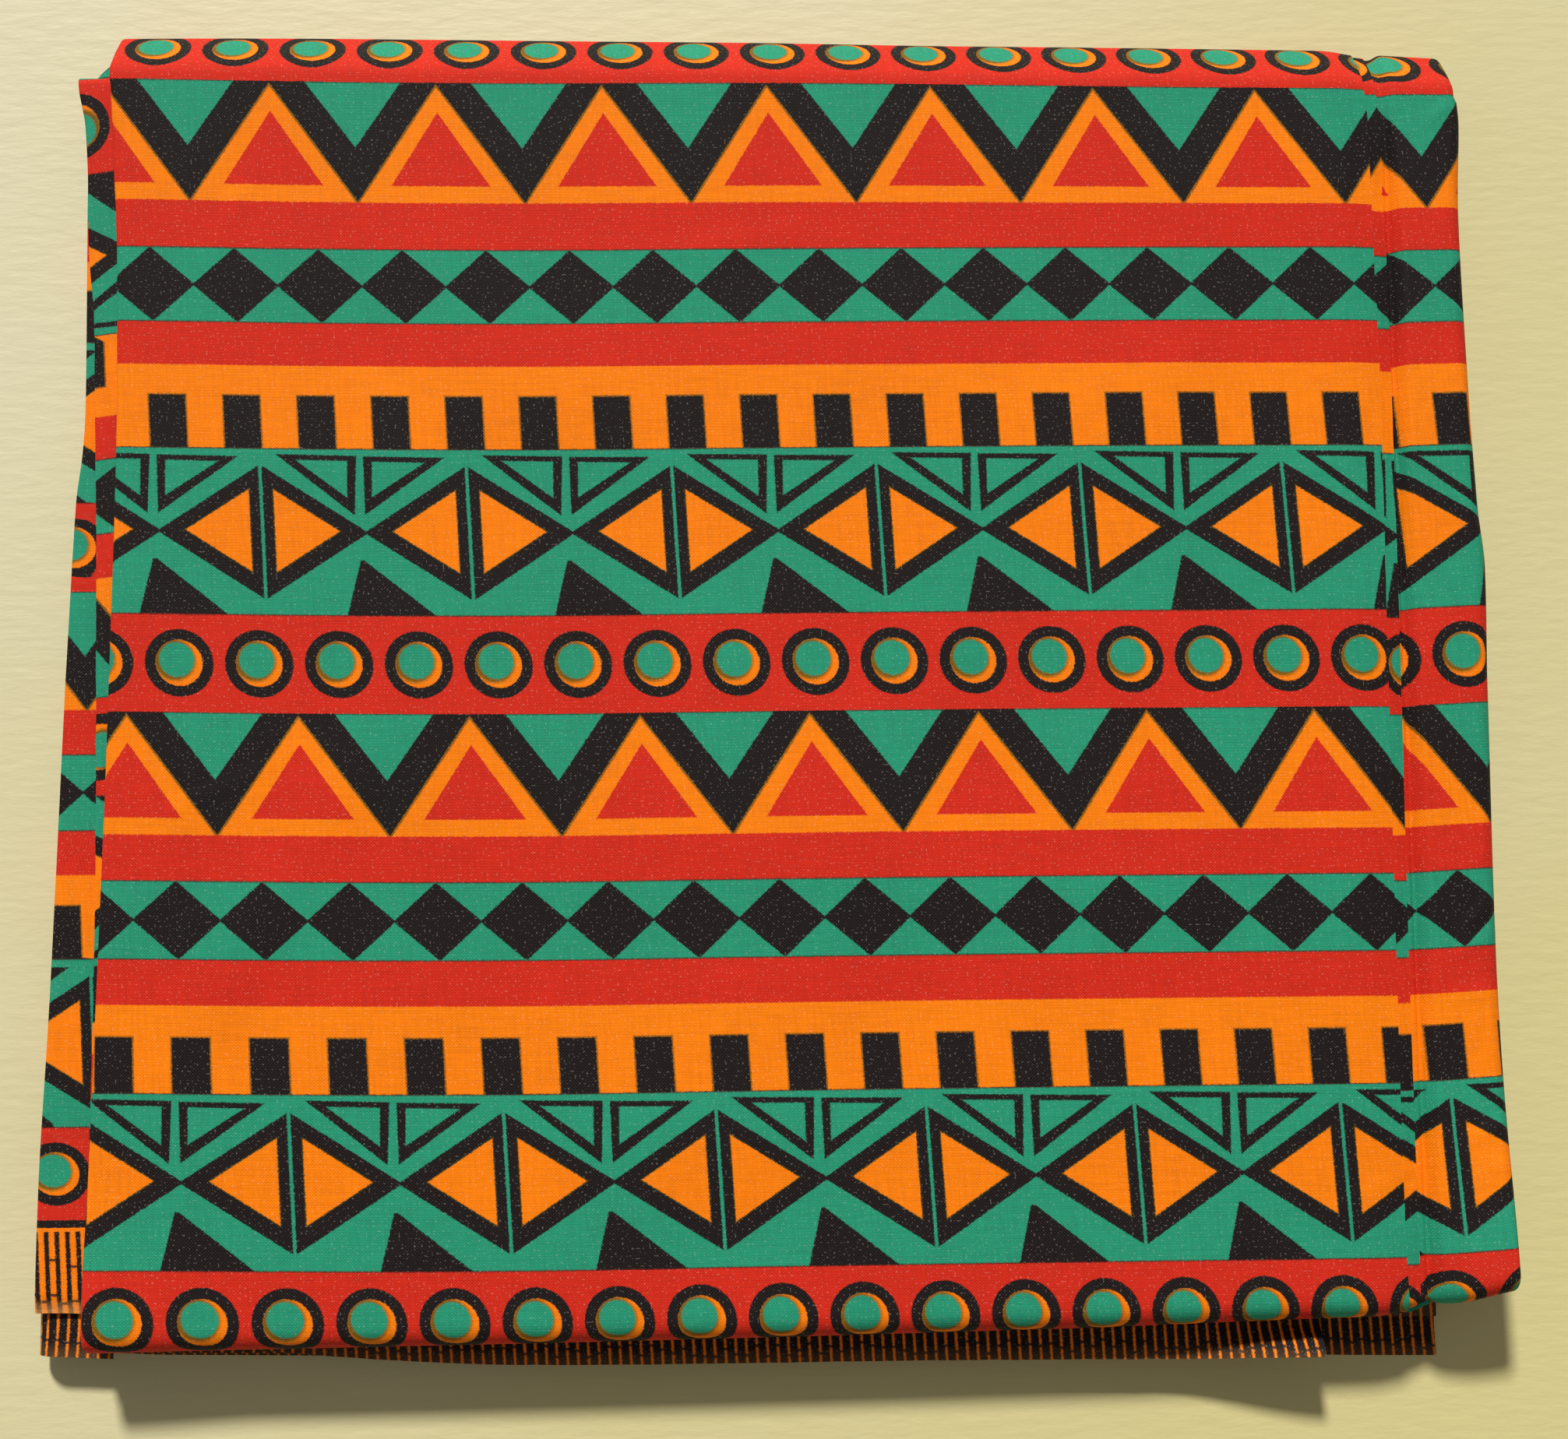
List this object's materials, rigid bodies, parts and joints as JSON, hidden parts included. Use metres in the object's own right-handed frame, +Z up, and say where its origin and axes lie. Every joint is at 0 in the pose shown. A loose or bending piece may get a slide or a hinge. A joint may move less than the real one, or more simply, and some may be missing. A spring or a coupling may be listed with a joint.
{
  "type": "folded length of wax print cotton cloth",
  "caption": "Uncut length of printed cotton cloth folded into a flat rectangular bundle with rounded fold edges, side plies and selvedges showing, lying flat.",
  "frame": {"origin": "middle of the bundle's box, at the height of the underside it rests on", "axes": "+X along the warp towards the side with the cut end, +Y along the weft towards the far folded edge, +Z up from the underside to the top ply"},
  "size_m": [0.3237, 0.3016, 0.0195],
  "materials": {
    "print": "plain-weave wax print cotton, red, orange, green and black, slight sheen",
    "selvedge": "plain-weave cotton selvedge with black ticks on orange",
    "layers": "stacked fold edges of the same print cotton"
  },
  "bodies": {
    "root": {"top_ply": "print", "second_ply": "print", "right_wrap": "print", "third_ply": "print", "upper_selvedge_ply": "selvedge", "lower_selvedge_ply": "selvedge", "folded_core": "layers"}
  },
  "joints": []
}
